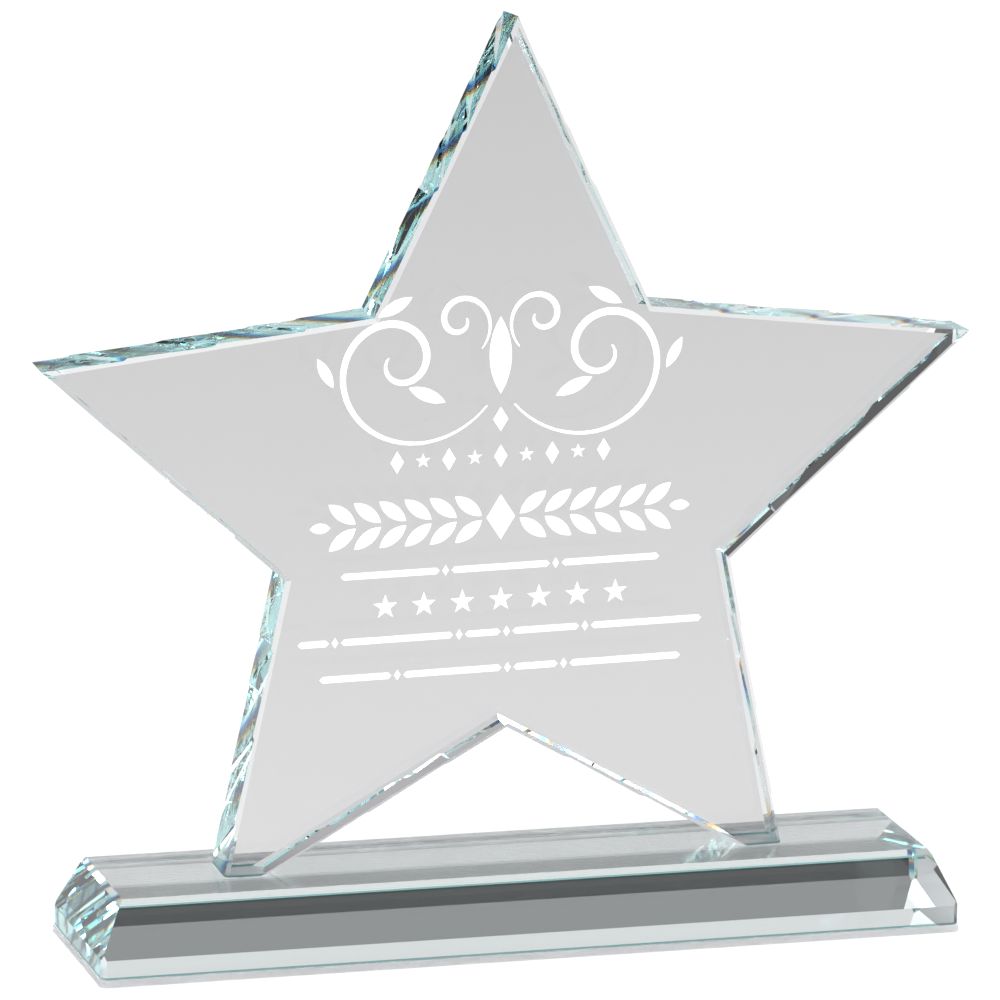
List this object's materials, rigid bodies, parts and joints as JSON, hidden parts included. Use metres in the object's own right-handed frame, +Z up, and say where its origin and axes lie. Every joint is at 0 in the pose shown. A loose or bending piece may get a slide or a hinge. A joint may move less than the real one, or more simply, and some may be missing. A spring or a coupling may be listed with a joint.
{
  "type": "star trophy",
  "caption": "Cut glass star award with faceted sides and etched white ornament, standing on a bevelled glass bar base.",
  "frame": {"origin": "bottom centre of the bounding box: on the star's upright axis, midway through its thickness, at the underside of the pad", "axes": "+X along the base towards the right hand end seen from the front, +Y from front to back, +Z up; the etched face looks towards -Y"},
  "size_m": [0.2064, 0.0462, 0.2029],
  "materials": {
    "star_glass": "polished clear glass with a faint green edge",
    "base_glass": "polished clear glass with a faint green edge",
    "clear_adhesive": "clear cured adhesive film",
    "pad": "pale matte protective pad",
    "pad_adhesive": "milky adhesive film",
    "white_paint": "matte white paint fill in etched glass"
  },
  "bodies": {
    "root": {"crystal_star": "star_glass", "crystal_base": "base_glass", "left_foot_bond": "clear_adhesive", "right_foot_bond": "clear_adhesive", "base_pad": "pad", "pad_adhesive": "pad_adhesive", "scroll_paint": "white_paint", "diamond_row_paint": "white_paint", "garland_paint": "white_paint", "title_rule_paint": "white_paint", "star_row_paint": "white_paint", "dedication_paint": "white_paint"}
  },
  "joints": []
}
